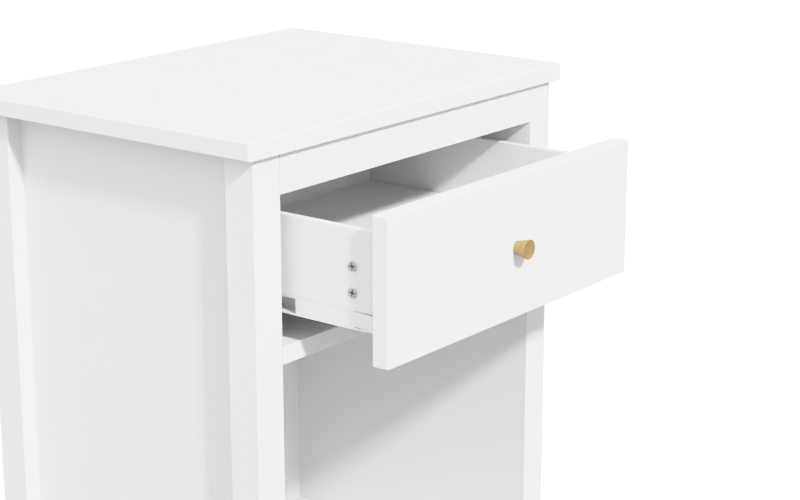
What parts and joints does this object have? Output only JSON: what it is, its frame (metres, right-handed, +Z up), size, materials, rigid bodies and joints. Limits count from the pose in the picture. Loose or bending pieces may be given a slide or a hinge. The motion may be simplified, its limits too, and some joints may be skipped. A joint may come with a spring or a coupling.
{
  "type": "bedside cabinet",
  "caption": "Bedside cabinet with an overhanging top, square posts, a steel-sided drawer on roller runners and an open compartment below.",
  "frame": {"origin": "middle of the overall footprint on the floor, with the drawer standing open as modelled", "axes": "+Z up, +X across the width to the right as the user faces the front, -Y the way the drawer opens"},
  "size_m": [0.42, 0.43, 0.6],
  "materials": {
    "painted_board": "white satin paint on fibreboard",
    "coated_steel": "white powder coat",
    "zinc_steel": "bright zinc plate",
    "brass": "satin brass",
    "nylon": "plain moulded nylon",
    "beech": "raw beech",
    "glide_plastic": "plain moulded plastic"
  },
  "bodies": {
    "carcass": {"top_panel": "painted_board", "front_left_post": "painted_board", "front_right_post": "painted_board", "rear_left_post": "painted_board", "rear_right_post": "painted_board", "left_side_panel": "painted_board", "right_side_panel": "painted_board", "back_panel": "painted_board", "front_top_rail": "painted_board", "rear_top_rail": "painted_board", "divider_shelf": "painted_board", "lower_shelf": "painted_board", "left_cabinet_runner": "coated_steel", "right_cabinet_runner": "coated_steel", "shelf_cam_locks": "zinc_steel", "shelf_cam_bolts": "zinc_steel", "top_screws": "zinc_steel", "cabinet_runner_screws": "zinc_steel", "front_roller_studs": "zinc_steel", "guide_roller_studs": "zinc_steel", "top_dowels": "beech", "rail_dowels": "beech", "side_panel_dowels": "beech", "front_left_glide": "glide_plastic", "front_right_glide": "glide_plastic", "rear_left_glide": "glide_plastic", "rear_right_glide": "glide_plastic"},
    "drawer": {"drawer_front": "painted_board", "drawer_left_side": "coated_steel", "drawer_right_side": "coated_steel", "drawer_bottom": "painted_board", "drawer_back": "coated_steel", "drawer_back_rivets": "zinc_steel", "left_front_bracket": "zinc_steel", "right_front_bracket": "zinc_steel", "front_adjusting_screws": "zinc_steel", "front_bracket_screws": "zinc_steel", "knob": "brass", "knob_screw": "zinc_steel"},
    "left_front_roller": {"left_front_roller": "nylon"},
    "right_front_roller": {"right_front_roller": "nylon"},
    "left_guide_roller": {"left_guide_roller": "nylon"},
    "right_guide_roller": {"right_guide_roller": "nylon"}
  },
  "joints": [
    {"name": "drawer_slide", "type": "slide", "parent": "carcass", "child": "drawer", "axis": [0, -1, 0], "range_m": [-0.1035, 0.057]},
    {"name": "left_front_roller_spin", "type": "hinge", "parent": "carcass", "child": "left_front_roller", "pos_m": [-0.1525, -0.071, 0.44585], "axis": [1, 0, 0], "continuous": true},
    {"name": "left_guide_roller_spin", "type": "hinge", "parent": "carcass", "child": "left_guide_roller", "pos_m": [-0.15215, 0.0085, 0.4603], "axis": [1, 0, 0], "continuous": true},
    {"name": "right_front_roller_spin", "type": "hinge", "parent": "carcass", "child": "right_front_roller", "pos_m": [0.1525, -0.071, 0.44585], "axis": [1, 0, 0], "continuous": true},
    {"name": "right_guide_roller_spin", "type": "hinge", "parent": "carcass", "child": "right_guide_roller", "pos_m": [0.15215, 0.0085, 0.4603], "axis": [1, 0, 0], "continuous": true}
  ],
  "couplings": [
    {"joint": "left_front_roller_spin", "follows": "drawer_slide", "rad_per_m": 142.86},
    {"joint": "left_guide_roller_spin", "follows": "drawer_slide", "rad_per_m": -163.93},
    {"joint": "right_front_roller_spin", "follows": "drawer_slide", "rad_per_m": 142.86},
    {"joint": "right_guide_roller_spin", "follows": "drawer_slide", "rad_per_m": -163.93}
  ]
}
